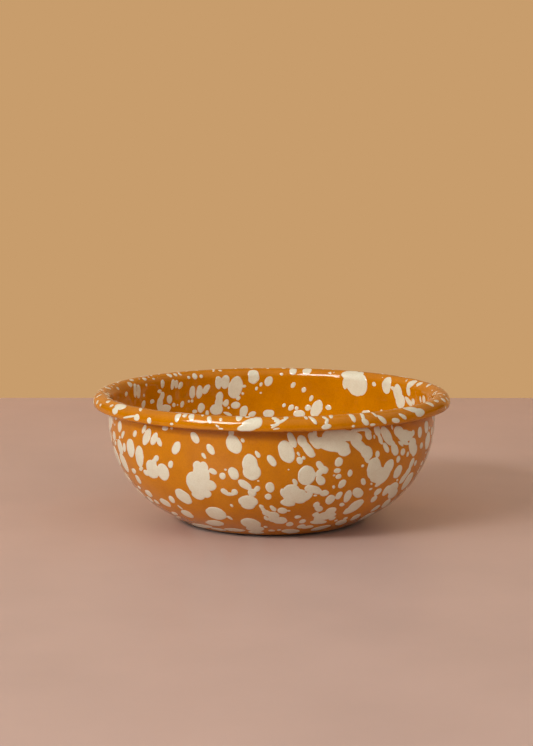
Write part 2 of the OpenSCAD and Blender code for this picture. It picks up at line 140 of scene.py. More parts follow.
# Each splash is made of ovals that run together. Turns are degrees from the front, to the right.
# A lean tilts the oval's length from level up towards the rim, on the rim towards the inside, and on
# the base towards the middle.
# Outside wall: turn, mm down from the rim, length, width, lean
WALL_SPLASHES = (
    (-78.5, 6.5, 11, 6, 20), (-76, 21, 9, 9, 0), (-75, 32, 9, 6, 10), (-65.4, 10.4, 2.2, 1.5, 30),
    (-72.2, 11.2, 6, 4, 20), (-72, 14.4, 4, 1.8, 20), (-66.6, 15, 7, 6.2, 90),
    (-67.4, 22.6, 9, 8, 80), (-65, 5.6, 5.6, 4.2, 60), (-62.3, 8.6, 4.8, 2.2, 45),
    (-57.4, 13.7, 9.2, 6.4, 70), (-62.4, 14.4, 4.8, 3, 60), (-59.8, 24.9, 4.5, 2.8, 20),
    (-59.5, 29.2, 5, 4, 60), (-64.2, 34.7, 4, 2.2, 20), (-58, 36.8, 6.5, 4.4, 25),
    (-63.3, 42, 6, 4, 30), (-57.4, 42.2, 4.2, 3, 30), (-56, 55, 9, 2.4, 30), (-48.2, 3.8, 5, 2.0, 55),
    (-53.6, 6.8, 3.6, 2.2, 45), (-46.9, 7, 8.6, 4.1, 57), (-52.3, 16.7, 11, 5.8, 68),
    (-46.2, 21.3, 9, 8, 60), (-53.4, 22.5, 4.5, 1.6, 25), (-50.8, 24, 4, 3, 0), (-48, 24, 6, 4, 170),
    (-49.3, 40.5, 6.8, 5.6, 10), (-51.4, 49.5, 5.5, 3, 30), (-35.3, 1.6, 1.4, 1.2, 0),
    (-38.1, 1.9, 3.5, 2, 10), (-43.2, 7.2, 6.6, 3.2, 55), (-40.7, 8.3, 4, 2.6, 125),
    (-43, 15.9, 4, 2.4, 35), (-36.7, 17.4, 4, 2.6, 60), (-44.6, 18.2, 4.4, 3, 60),
    (-41.2, 21.9, 8.5, 7, 60), (-35.4, 33.8, 9, 7.6, 110), (-42.9, 37, 5.2, 3.2, 65),
    (-41.1, 41.8, 3.5, 1.6, 110), (-40.5, 46.8, 7.2, 6, 60), (-44.4, 60.8, 16, 4.6, 15),
    (-26.1, 4.6, 5.2, 3.4, 125), (-33.6, 9.9, 6.4, 3.8, 55), (-25.7, 17.1, 5.2, 4.4, 80),
    (-27.1, 26, 13, 10.5, 95), (-28, 31.8, 6.2, 5.2, 0), (-28.7, 53, 10.5, 6.2, 25),
    (-32, 61.6, 8, 3, 0), (-20.4, 9.2, 5.4, 3.1, 124), (-23, 12.2, 2.8, 1.5, 130),
    (-23.3, 16.8, 4.6, 3.4, 100), (-15.6, 17.6, 0.9, 0.8, 0), (-20.2, 18.9, 3.5, 2.9, 150),
    (-24.7, 20.6, 8.6, 8, 100), (-16.9, 20.9, 3.4, 2.6, 80), (-22.3, 25.8, 6, 5.2, 20),
    (-17, 28.5, 3.7, 3, 130), (-15.2, 29.7, 5, 2, 0), (-24.7, 30.4, 5.2, 4.8, 30),
    (-15.5, 36.4, 2.2, 1.4, 100), (-23.7, 43.2, 10.2, 9.2, 60), (-18.2, 45.6, 3.6, 1.6, 115),
    (-21, 60, 10, 4.4, 5), (-13.2, 1.6, 2.5, 2.2, 100), (-9.6, 4.6, 2.1, 1.6, 130),
    (-12.4, 6.5, 8.2, 6.2, 118), (-7.2, 15, 9.4, 6.6, 97), (-6.6, 18.4, 7.7, 7.6, 0),
    (-12.9, 19.3, 6, 4.5, 110), (-9.4, 24.4, 6.6, 3.6, 140), (-5.2, 26.5, 3.4, 2.5, 60),
    (-6.9, 28.5, 4.2, 3.7, 100), (-13.3, 28.5, 3.3, 3, 90), (-8.8, 33.5, 8.3, 6.8, 0),
    (-9, 35.8, 6, 5.2, 0), (-9.6, 50.5, 11, 8.4, 100), (-8.6, 56.5, 8, 8, 90),
    (-8.9, 61.7, 6.5, 4, 0), (4.8, 9.3, 10.2, 6.4, 112), (-4.7, 10.3, 3.4, 2, 120),
    (0, 13.2, 5.6, 3, 122), (-4.6, 22.4, 1.1, 1, 0), (-0.6, 25.6, 5.2, 3.7, 100),
    (3.7, 28.2, 3.8, 1.5, 92), (-1.3, 30.6, 3.5, 2.8, 90), (-3.9, 36.5, 3, 1.8, 110),
    (0.5, 37.6, 4.8, 2.3, 120), (-3.2, 38.6, 3.6, 2.1, 110), (4.1, 39.2, 4.4, 3.8, 150),
    (-1.9, 41, 5.6, 3.6, 120), (0.7, 42.5, 5.6, 4.8, 120), (-2.4, 44.8, 4, 1.5, 105),
    (0.4, 46, 5, 3.6, 120), (3.6, 47, 6.6, 6, 150), (-2.8, 53.7, 2.6, 1.6, 100),
    (3.8, 58, 2.8, 1.9, 90), (0, 58.8, 3, 2.5, 0), (14.2, 2, 3.6, 1.8, 90), (13.2, 3.6, 4.6, 3, 115),
    (6.6, 4.3, 7, 3, 113), (10, 5, 5.6, 3.6, 115), (14.4, 5.4, 7.4, 4.2, 128),
    (12.1, 8.8, 7.8, 3.6, 124), (8.8, 10.4, 2, 1, 125), (13.3, 11, 3, 2.6, 0),
    (10.6, 12.1, 1.7, 1, 130), (9.2, 13.2, 3.4, 2.4, 115), (5.6, 17.2, 0.9, 0.8, 0),
    (11.8, 20.2, 9.4, 7.6, 97), (7.9, 22.9, 3.5, 2, 118), (13.9, 26.9, 6, 4, 160),
    (10.4, 28.8, 5, 4, 150), (7.1, 29, 9.6, 8, 100), (12, 31.2, 7, 4.6, 30), (10, 31.8, 7, 5.6, 150),
    (6, 34.2, 6.6, 4, 160), (6.8, 39.3, 1.4, 1.1, 0), (11, 44.2, 3, 2.6, 0), (13.7, 48.3, 4.2, 3, 90),
    (8.4, 50.8, 4.6, 3.3, 95), (14.7, 54, 5.2, 3.6, 95), (10.6, 60.3, 8.6, 5.6, 160),
    (19.6, 3.2, 7.4, 5, 0), (24, 3.4, 17.6, 4.8, 172), (19.4, 7, 15, 5.4, 163),
    (24, 7.4, 6.5, 3.4, 155), (24.6, 9.8, 6.2, 5, 150), (22.8, 14.9, 4.4, 3.9, 100),
    (16.2, 15.7, 4.2, 2.6, 135), (18, 17.9, 4, 3, 120), (22.6, 18.6, 3.4, 2.6, 10),
    (16.4, 19, 3.8, 2.8, 40), (21.7, 20.7, 1.2, 1, 0), (23.4, 21.6, 2.6, 2.4, 0),
    (17, 22.7, 5.4, 3.4, 125), (22.3, 26.5, 2, 1.3, 110), (16.4, 28, 5, 3.2, 150),
    (19.3, 29.5, 4.2, 3.4, 170), (15.9, 30.6, 1.7, 1.2, 0), (22.2, 33.5, 5.6, 4.2, 95),
    (17.3, 36, 3.8, 2.8, 100), (18.8, 38.8, 5, 3.2, 130), (24.6, 41.3, 5.6, 5, 90),
    (18.4, 43, 3.6, 3, 100), (23.4, 44.8, 9.5, 7, 0), (20.8, 46.4, 6, 4.6, 120),
    (22, 50.2, 8.5, 4.2, 165), (18.5, 55.5, 5.2, 4.6, 0), (30.6, 1.7, 9, 1.3, 178),
    (33.4, 2.3, 5, 1.8, 150), (33.9, 4.4, 4.4, 3.2, 125), (29.6, 4.8, 4.6, 3.6, 160),
    (30.9, 9, 13, 4.2, 142), (33.4, 11.6, 7.4, 5, 140), (33.8, 15, 4, 2, 125),
    (32.4, 17.6, 1.2, 1, 0), (27.6, 20.2, 3.6, 2.2, 100), (25.4, 25.4, 4.5, 3.5, 70),
    (34.2, 25.4, 4.5, 2.2, 128), (33.5, 31.2, 7.6, 4.4, 140), (25.5, 31.5, 4.4, 3.1, 85),
    (29.3, 32.6, 7.4, 3.6, 95), (28.4, 37.4, 3, 2.2, 140), (34.6, 42, 7.4, 6, 40),
    (27.8, 47.8, 4.2, 3, 120), (31.2, 50.5, 2.2, 1.6, 120), (27.2, 58.5, 9, 5.4, 25),
    (44.4, 2.4, 2.2, 1, 110), (37.6, 3, 5, 3.2, 120), (36.3, 5.3, 1.9, 1.1, 110),
    (42, 5.8, 10.5, 4.4, 128), (38.8, 6.4, 6, 1.9, 118), (41.8, 10.8, 5.8, 2.3, 128),
    (38, 13, 3.2, 2.4, 110), (37.6, 19.6, 10.6, 7.6, 108), (44.5, 20.2, 7.6, 6.2, 80),
    (40, 23, 9, 7.6, 150), (43.2, 24.2, 9, 7, 55), (38.4, 27.2, 1.8, 1.1, 140),
    (41.9, 28.2, 3.4, 2, 10), (39, 30, 2, 1.3, 0), (43.8, 32.5, 4.4, 4, 170),
    (44, 36.9, 4.2, 3.5, 120), (35.6, 39.6, 8.6, 7, 70), (36.1, 49.6, 3.2, 2.4, 120),
    (42.8, 50.5, 7.2, 4.6, 110), (36.9, 54.3, 8.5, 5.4, 130), (48, 4.8, 7, 4.6, 160),
    (51, 7, 10, 5.4, 165), (54.2, 7.6, 6, 4, 0), (45.2, 9.8, 4, 2.2, 125), (51.7, 10.2, 6, 1.8, 160),
    (49.2, 10.2, 4.6, 1.3, 147), (46.3, 12.4, 6.6, 3.8, 135), (50.9, 14.1, 3.5, 3, 150),
    (54.3, 15.8, 2.8, 2.2, 90), (49, 17.1, 3.3, 2.6, 110), (50.9, 23.4, 6.8, 5.6, 110),
    (52.8, 28, 2, 1.2, 150), (52.9, 32.5, 9, 6.4, 150), (49, 33, 6.5, 4.4, 110),
    (51.7, 45.2, 5, 4.4, 90), (56.2, 7, 3.4, 2.8, 0), (61.6, 7.5, 5, 4.2, 110),
    (56.8, 12.6, 8, 6, 120), (64, 13.8, 4, 3, 160), (58.6, 14.8, 6, 5, 120), (59.1, 21, 5.4, 4, 80),
    (62.5, 21.6, 3, 2.6, 120), (58.5, 25, 5, 4, 80), (57.1, 28, 6, 4.6, 60), (63.2, 31, 10, 8, 110),
    (56, 36.5, 9, 5.5, 150), (58.5, 43.5, 9, 5, 140), (55.4, 54, 12, 7, 120), (67.7, 6.2, 6, 5, 130),
    (70.8, 13, 9, 7, 130),
)
# Rim: turn, degrees round the curl from its outer side, length, width, lean
RIM_SPLASHES = (
    (-56.4, 60, 8.5, 4, 0), (-57.8, 20, 5, 3, 0), (-45.6, 8, 3.4, 3, 0), (-49.5, 4, 9.2, 1, 13),
    (-46.2, 75, 4, 1.4, 135), (-70, 23, 2.2, 1.4, 0), (-66.5, 65, 3.6, 2, 0),
    (-61.5, 45, 2.6, 1.6, 20), (-75, 28, 3, 2, 0), (-40.2, 1, 2.6, 2.4, 90), (-31.5, -2, 1.6, 0.9, 0),
    (-29.9, 45, 4.8, 2.5, 95), (-27.8, 62, 2.4, 2, 90), (-25.3, 55, 5, 2.4, 110),
    (-19.2, 45, 4.4, 2.2, 115), (-15.6, 47, 1.8, 1.2, 110), (-16.3, 5, 2.2, 1, 150),
    (-22, 80, 2.6, 1, 110), (-15.3, -10, 2.4, 0.8, 0), (-10.1, 70, 4.4, 2.8, 95),
    (-7.4, 88, 2.6, 2.4, 90), (-4.4, 40, 6, 4.4, 85), (-7.2, 2, 8.5, 3.4, 10),
    (-6.5, 35, 6.7, 3.5, 34), (-7.5, 32, 4.5, 2.1, 23), (0.7, 70, 2.4, 2, 100),
    (1.5, 50, 2.4, 2.2, 100), (2.4, 35, 8.5, 1.4, 35), (4.4, 78, 3, 2.2, 80), (1, 18, 3.5, 0.8, 0),
    (1.5, -3, 3, 0.8, 10), (10.5, 75, 3.4, 1.6, 100), (12.4, 55, 6, 1.8, 117),
    (16.3, 62, 2, 1.4, 120), (16.7, 35, 3, 1.4, 60), (16.4, 2, 4.2, 2, 5), (18.7, 78, 3.6, 1.8, 70),
    (25.4, 55, 5.6, 2.2, 95), (25, -5, 1.6, 1.2, 0), (29, 60, 5, 1.8, 80), (29.3, 14, 4, 2.4, 140),
    (31.8, -6, 3, 1.2, 0), (33.4, 65, 4, 1.2, 100), (35.5, 20, 5.6, 2.2, 135),
    (40.8, 2, 4.6, 2.2, 165), (44, 22, 4.8, 1.8, 145), (49.6, 62, 8, 4, 160), (52.7, 25, 7, 4, 0),
    (61.6, 65, 4.5, 3.4, 130), (68, 68, 4, 2, 0), (105, 110, 4, 2.4, 130), (111.8, 130, 3.8, 2.8, 30),
    (116.9, 140, 6.5, 4.6, 40), (131, 165, 6, 5.4, 90), (145.4, 135, 5.6, 5.6, 90),
    (148.6, 125, 8, 5, 0), (150.5, 140, 6, 4, 0), (166.6, 125, 5, 4.6, 60),
    (171.9, 133, 4.5, 3.8, 90), (176.1, 157, 1.6, 1.6, 0), (187, 160, 5.4, 5.4, 90),
    (199.6, 117, 1.8, 1.4, 0), (202.2, 113, 2.4, 1.2, 60), (207.9, 155, 1.6, 1.6, 0),
    (210.7, 150, 3.2, 2.5, 90), (213.4, 156, 1.8, 1.6, 0), (218.6, 125, 2.4, 1.8, 90),
    (221.4, 122, 3.2, 2.6, 120), (229.9, 138, 1.6, 1.4, 0), (234.4, 125, 2.8, 2.3, 0),
    (241.9, 157, 2.2, 1.6, 0), (244.9, 143, 3.8, 3, 0), (241.3, 112, 2.6, 1.8, 0),
    (256, 143, 2.4, 1.6, 0),
)
# Inside: turn, mm down from the curl, length, width, lean
INSIDE_SPLASHES = (
    (104, 2.6, 4.5, 3.6, 0), (107.6, 3.3, 3.2, 2.2, 60), (114, 5.5, 3, 3, 0),
    (117.2, 6, 7.4, 2.8, 29), (117.6, 1.2, 5, 3.6, 62), (141, 14.9, 5.2, 3.2, 161),
    (133.5, 12.9, 1.6, 1.6, 90), (124.5, 2.9, 7.9, 6.4, 78), (122.8, 6.8, 7.2, 7.4, 80),
    (127.7, 1.2, 3, 2, 0), (131, 0.6, 8, 6, 90), (137.4, 0.7, 2.6, 2.4, 0), (145.4, 1.6, 12, 11.6, 0),
    (150.6, 1.5, 6, 2.6, 90), (157.6, 13.8, 3, 2.4, 0), (162.3, 14.6, 9, 5.4, 112),
    (164.6, 9.8, 3.2, 1.9, 115), (165.8, 14.4, 3.2, 2.6, 120), (167.5, 5.9, 2.8, 2.4, 120),
    (171.8, 3.7, 3.2, 2.2, 130), (170.3, 14.7, 2.2, 2, 0), (172.4, 14.7, 3.6, 2.6, 130),
    (175.2, 13.4, 2.5, 2, 115), (169.2, 17.5, 6, 3.6, 0), (181.2, 1.9, 4.8, 3.8, 115),
    (184.2, 3.5, 2.2, 1.5, 115), (185.9, 5.4, 2, 1.4, 120), (184.2, 7.5, 1.6, 1.3, 0),
    (187, -0.4, 7, 5.4, 90), (190.7, 4.2, 2, 1.6, 0), (191.2, 7.7, 1.6, 1.6, 0),
    (194.2, 4.6, 11, 7, 105), (194.2, 13.2, 4.4, 3.5, 0), (198.2, 1.8, 7, 4.6, 100),
    (201, 1.8, 6.5, 3.6, 85), (197.9, 11.8, 3.9, 2.8, 100), (206, 16.2, 2.6, 2, 105),
    (197.5, 17.2, 4.6, 1.4, 22), (193, 9.9, 2.4, 1.9, 146), (197, 14.3, 1.2, 1, 122),
    (191, 16.5, 6, 4, 110), (187.8, 17.8, 4, 2.6, 150), (181.2, 17.5, 5.5, 4, 0),
    (200.6, 8.8, 5, 4, 110), (201, 11.5, 6, 4, 100), (202, 14.8, 6.6, 5.4, 0),
    (206, 4.8, 5.5, 3.2, 125), (209, 5.8, 6.2, 3.8, 95), (212, 5.8, 6.2, 3.7, 95),
    (208.4, 13.5, 5, 3.8, 115), (211.2, 15, 3, 2, 0), (217.4, 1.9, 4.1, 2.8, 127),
    (221, 1.1, 5.2, 2.5, 104), (219.3, 1.1, 4.3, 2.5, 98), (222.7, 7.9, 4.3, 3.4, 90),
    (216.7, 10.9, 3.7, 2.4, 115), (220.6, 10.8, 2, 2, 0), (218.8, 11, 1.2, 1.2, 0),
    (212.2, 9.7, 1.6, 1.6, 0), (213.6, 9.7, 1.6, 1.6, 0), (226, 0.1, 4, 2.5, 99),
    (226.4, 6, 5, 3, 120), (227.6, 9.5, 7, 4, 100), (224.8, 12, 7, 4, 0), (227.8, 3.5, 2.9, 2.1, 0),
    (231.7, 7.7, 3.1, 2.4, 0), (236.8, 4.1, 1.6, 1.6, 0), (236.9, 8.2, 4, 3, 120),
    (242.3, 1.1, 6.4, 3, 90), (240, 1.6, 6.4, 3.4, 90), (235, -0.6, 1.4, 1.6, 117),
    (249.4, 1.3, 3.2, 2.4, 0),
)
# On both sides, outside and inside: turn, mm down, length, width, lean
SIDE_SPLASHES = (
    (83, 7.9, 8.8, 6, 60), (88, 19.7, 7.2, 6, 120), (96, 5.3, 8, 5.2, 100), (98, 15.8, 6, 4.4, 20),
    (84, 36.8, 9.2, 6.8, 30), (97, 30.2, 7.6, 6, 150), (91, 47.3, 8, 5.2, 10),
    (86, 57.8, 7.2, 4, 170), (79, 13.5, 3, 2.2, 110), (91.5, 11.5, 3.6, 2.2, 70),
    (85.5, 28, 3.4, 2.6, 30), (100, 23, 3, 2.4, 0), (81, 45, 3.4, 2.2, 20), (92, 55.5, 3, 2, 0),
    (101, 38.5, 4, 2.6, 140), (78.5, 26, 2.4, 1.8, 90), (88.5, 24.6, 2, 1.6, 0),
    (94, 39, 2.2, 1.8, 0), (101.5, 9.5, 2.6, 1.4, 120), (80.5, 51, 5, 2.4, 15),
    (98.5, 50.5, 4.2, 2.4, 170), (90, 35.5, 1.6, 1.4, 0), (83.5, 20.5, 1.8, 1.2, 100),
    (99.5, 60, 5.4, 2.2, 5),
)
# On the base inside: turn, mm from the middle, length, width, lean
BASE_SPLASHES = (
    (10, 24.2, 7.6, 6.4, 20), (48, 20.2, 6.4, 5.6, 80), (78, 25.5, 6.4, 5.2, 140),
    (112, 22.2, 6.8, 5.6, 30), (145, 15, 8.8, 7.2, 60), (165, 24.8, 6, 4.8, 100),
    (198, 22.8, 7.2, 6.4, 150), (232, 24.2, 6.4, 5.2, 10), (262, 17.6, 8, 6.4, 70),
    (290, 24.2, 6, 5.6, 120), (322, 20.2, 6.8, 5.6, 40), (345, 9.7, 6, 5.2, 10),
    (30, 12, 3.2, 2.4, 50), (95, 13.4, 4, 2.8, 100), (62, 28, 3, 2.2, 0), (128, 27, 2.4, 2, 30),
    (182, 11, 2.6, 2.2, 0), (215, 15.5, 3.4, 2.4, 120), (247, 8, 2.2, 1.8, 0),
    (277, 27.5, 3.2, 2.2, 60), (305, 12.6, 2.8, 2, 20), (336, 27.6, 3.6, 2.6, 90),
    (70, 5.4, 3.8, 2.8, 160), (355, 17, 2.4, 1.8, 140), (25, 30.4, 2.6, 1.8, 10),
    (150, 30.6, 3, 2, 170), (205, 31, 2.4, 1.8, 0), (300, 31, 3, 2, 20),
)


def linear(hex_color):
    """The linear RGBA of an sRGB hex value."""
    parts = [int(hex_color[i:i + 2], 16) / 255 for i in (1, 3, 5)]
    return [c / 12.92 if c <= 0.04045 else ((c + 0.055) / 1.055) ** 2.4 for c in parts] + [1.0]


def add_node(tree, kind, settings=None, links=None, stops=()):
    """Adds a node with its settings and links.

    Settings are its properties or inputs, links are its inputs' sources, and stops are a ramp's two
    colours, each after its place from 0 to 1.
    """
    node = tree.nodes.new(kind)
    for key, value in (settings or {}).items():
        if isinstance(key, int) or key in node.inputs:
            node.inputs[key].default_value = value
        else:
            setattr(node, key, value)
    for key, source in (links or {}).items():
        tree.links.new(source, node.inputs[key])
    for number, (position, shade) in enumerate(stops):
        stop = node.color_ramp.elements[number]
        stop.position, stop.color = position, shade
    return node


def new_material(name, settings):
    """A named material with one shader, and its tree, shader and object coordinates."""
    material = bpy.data.materials.new(name)
    material.use_nodes = True
    tree = material.node_tree
    tree.nodes.clear()
    shader = add_node(tree, "ShaderNodeBsdfPrincipled", settings)
    add_node(tree, "ShaderNodeOutputMaterial", links={"Surface": shader.outputs[0]})
    place = add_node(tree, "ShaderNodeTexCoord").outputs["Object"]
    return material, tree, shader, place


def mottled(tree, place, grain_mm, detail, low, high):
    """A colour that wanders between two stops, in soft patches about grain_mm across."""
    patches = add_node(tree, "ShaderNodeTexNoise", {"Scale": 1 / (grain_mm * MM), "Detail": detail},
                       {"Vector": place})
    return add_node(tree, "ShaderNodeValToRGB", links={"Fac": patches.outputs["Fac"]},
                    stops=(low, high)).outputs["Color"]


def grained(tree, place, coat, grain_mm, low, high):
    """The coat's colour with half of a fine grain laid over it."""
    grain = mottled(tree, place, grain_mm, 1.0, low, high)
    return add_node(tree, "ShaderNodeMix", {"data_type": "RGBA", "blend_type": "MULTIPLY", "Factor": 0.5},
                    {"A": coat, "B": grain}).outputs["Result"]


def ripple(tree, shader, place, wave_mm, strength, height_mm):
    """Lets the surface rise and fall by strength times height_mm, in waves about wave_mm across."""
    waves = add_node(tree, "ShaderNodeTexNoise", {"Scale": 1 / (wave_mm * MM), "Detail": 1.0},
                     {"Vector": place})
    bump = add_node(tree, "ShaderNodeBump", {"Strength": strength, "Distance": height_mm * MM},
                    {"Height": waves.outputs["Fac"]})
    tree.links.new(bump.outputs["Normal"], shader.inputs["Normal"])


def worn_foot_and_contact_shade(tree, place, coat):
    """The coat's colour, worn through to the dark ground coat on the lowest millimetre or so, a band that is
    partly real wear and partly painted shade for the dark contact line under the bowl.
    """
    edge = add_node(tree, "ShaderNodeTexNoise", {"Scale": 1 / (WEAR_AND_SHADE_GRAIN * MM), "Detail": 2.0},
                    {"Vector": place})
    height = add_node(tree, "ShaderNodeSeparateXYZ", links={"Vector": place})
    uneven_height = add_node(tree, "ShaderNodeMath", {"operation": "MULTIPLY_ADD", 1: WEAR_AND_SHADE_WANDERS * MM},
                             {0: edge.outputs["Fac"], 2: height.outputs["Z"]})
    whole = add_node(tree, "ShaderNodeMapRange", {"From Min": COAT_STARTS * MM, "From Max": COAT_WHOLE * MM},
                     {"Value": uneven_height.outputs[0]})
    # Painted shade: this dark band is partly the worn foot's ground coat and partly the contact shadow line
    # where the bowl meets the table
    return add_node(tree, "ShaderNodeMix", {"data_type": "RGBA", "A": linear(GROUND_COAT)},
                    {"Factor": whole.outputs[0], "B": coat}).outputs["Result"]


def mustard_enamel(look):
    # Vitreous enamel, a fired glass: an even, wet-looking gloss over a thin opaque colour. The dark
    # ground coat shows a little where the colour lies thin, and the fired surface is faintly uneven.
    # Its IOR is under a glass's 1.5, since the gloss in the photograph veils the colour less.
    material, tree, shader, place = new_material(
        "Mustard vitreous enamel, fired gloss", {"Roughness": 0.06, "IOR": 1.36, "Metallic": 0.0})
    patches = mottled(tree, place, grain_mm=9.0, detail=3.0, low=(0.30, look.mustard_thin),
                      high=(0.62, look.mustard))
    # The milled glass has a grain of about 0.1 mm, which is drawn at 0.7 mm so that it shows
    coat = grained(tree, place, patches, grain_mm=0.7, low=(0.32, linear("#EDE9E2")),
                   high=(0.6, linear("#FFFFFF")))
    # The dark band at the foot is partly wear and partly painted contact shade
    tree.links.new(worn_foot_and_contact_shade(tree, place, coat), shader.inputs["Base Color"])
    # Orange peel: waves of a few millimetres, a few micrometres high
    ripple(tree, shader, place, wave_mm=2.6, strength=0.10, height_mm=0.06)
    return material


def cream_enamel(look):
    # The same glass in cream, splashed on wet and fired: it rounds at its edges and is a little
    # translucent where thin, so its colour is warmer in patches.
    material, tree, shader, place = new_material(CREAM, {"Roughness": 0.17, "IOR": 1.52, "Metallic": 0.0})
    patches = mottled(tree, place, grain_mm=4.0, detail=3.0, low=(0.34, look.cream_thin),
                      high=(0.60, look.cream))
    # Its grain, too, is drawn coarser than the real 0.1 mm, so that it shows
    coat = grained(tree, place, patches, grain_mm=0.6, low=(0.34, linear("#F3F0EA")),
                   high=(0.58, linear("#FFFFFF")))
    tree.links.new(coat, shader.inputs["Base Color"])
    ripple(tree, shader, place, wave_mm=1.2, strength=0.12, height_mm=0.05)
    return material


def ground_enamel():
    # The dark first coat, a cobalt-bearing glass that grips the steel: near black, glossy, pinholed
    material, tree, shader, place = new_material(
        "Dark ground enamel, fired", {"Roughness": 0.25, "IOR": 1.52})
    # Pinholes are about 0.2 mm across, and are drawn at 0.8 mm so that they show
    coat = mottled(tree, place, grain_mm=0.8, detail=2.0, low=(0.4, linear(GROUND_COAT)),
                   high=(0.7, linear("#3A2C23")))
    tree.links.new(coat, shader.inputs["Base Color"])
    return material


def pressed_steel():
    # Cold-rolled low-carbon sheet, pressed: grey metal with a fine directionless grain
    material, tree, shader, place = new_material(
        "Pressed mild steel sheet", {"Metallic": 1.0, "Roughness": 0.38})
    # The metal's grain is some hundredths of a millimetre, and is drawn at 0.3 mm so that it shows
    grain = mottled(tree, place, grain_mm=0.3, detail=3.0, low=(0.3, linear("#5E6165")),
                    high=(0.7, linear("#8A8D90")))
    tree.links.new(grain, shader.inputs["Base Color"])
    return material


def dress(piece, material):
    """Gives a piece its one material."""
    piece.data.materials.clear()
    piece.data.materials.append(material)


class Outline:
    """A side of the sheet as a line: run along it in mm, with the radius, height and slope there."""

    def __init__(self, points, start):
        points = np.array(points)
        step = np.hypot(*np.diff(points, axis=0).T)
        points = points[np.concatenate([[True], step > SAME_POINT])]
        run = np.concatenate([[0], np.cumsum(np.hypot(*np.diff(points, axis=0).T))])
        self.run = run - run[np.argmin(np.hypot(*(points - start).T))]
        self.points = points
        slope = np.gradient(points, self.run, axis=0)
        self.slope = slope / np.hypot(*slope.T)[:, None]

    def at(self, run):
        """Radius and height at a run, and how far the line goes out and up there."""
        radius, height = (np.interp(run, self.run, self.points[:, i]) for i in (0, 1))
        out, up = (np.interp(run, self.run, self.slope[:, i]) for i in (0, 1))
        return radius, height, out, up


def arc(mid, radius, start, end):
    """Points on an arc from one angle to another, in degrees."""
    steps = max(3, int(abs(end - start) * radius * math.pi / 180 / ARC_STEP))
    turn = np.radians(np.linspace(start, end, steps))
    return [(mid[0] + radius * math.cos(t), mid[1] + radius * math.sin(t)) for t in turn]


def line(start, end):
    """Points on a straight line."""
    steps = max(2, int(math.dist(start, end) / LINE_STEP))
    return [(start[0] + (end[0] - start[0]) * k / steps, start[1] + (end[1] - start[1]) * k / steps)
            for k in range(steps + 1)]


def outlines(size):
    """The outside from the rim's underside down, and the food side from the lip over the crest.

    The curl's radius comes with them, and all are in mm.
    """
    mm = {key: getattr(size, key) / MM for key in BowlSize.__annotations__}
    sheet = mm["sheet"]
    rim_r = mm["rim_d"] / 2
    wall_r = rim_r - mm["rim_overhang"]
    curl_r = (mm["rim_overhang"] + sheet) / 2
    curl = (rim_r - curl_r, mm["height"] - curl_r)
    lip_r, foot_r, bend_r = mm["lip_corner_r"], mm["foot_d"] / 2, mm["wall_curve_r"]
    lip_z = curl[1] - mm["lip_drop"]
    under_lip = lip_z - lip_r
    bend, foot = (wall_r - bend_r, bend_r), (foot_r, mm["foot_round_r"])
    cone = 2 * math.degrees(math.atan2(bend[1] - foot[1], bend[0] - foot[0])) - 270
    outside = (line((wall_r, under_lip), (wall_r, bend_r)) + arc(bend, bend_r, 0, cone)
               + arc(foot, foot[1], cone, -90))
    inner, round_r = bend_r - sheet, foot[1] - sheet
    ring_in = foot_r - mm["foot_ring_w"]
    slope_in = ring_in - mm["base_slope_w"]
    top = sheet + mm["base_lift"]
    food = (line((rim_r - lip_r - LIP_UNDERSIDE, under_lip), (rim_r - lip_r, under_lip))
            + arc((rim_r - lip_r, lip_z), lip_r, -90, 0)
            + line((rim_r, lip_z), (rim_r, curl[1]))
            + arc(curl, curl_r, 0, 180) + line((wall_r - sheet, curl[1]), (wall_r - sheet, bend_r))
            + arc(bend, inner, 0, cone) + arc(foot, round_r, cone, -90)
            + line((foot_r, sheet), (ring_in, sheet)) + line((ring_in, sheet), (slope_in, top))
            + line((slope_in, top), (0.0, top)))
    return Outline(outside, (wall_r, under_lip)), Outline(food, (curl[0], mm["height"])), curl_r


def soft_noise(shape, cell, grain_mm, seed):
    """Soft noise of grains about grain_mm across, without a seam in its first direction."""
    rng = np.random.default_rng(seed)
    noise = np.fft.rfft2(rng.standard_normal(shape))
    waves_round = np.fft.fftfreq(shape[0])[:, None] / cell[0]
    waves_along = np.fft.rfftfreq(shape[1])[None, :] / cell[1]
    # A blur over about a third of a grain
    softness = 1.6 * grain_mm
    noise = np.fft.irfft2(noise * np.exp(-(waves_round ** 2 + waves_along ** 2) * softness ** 2), shape)
    return noise / noise.std()


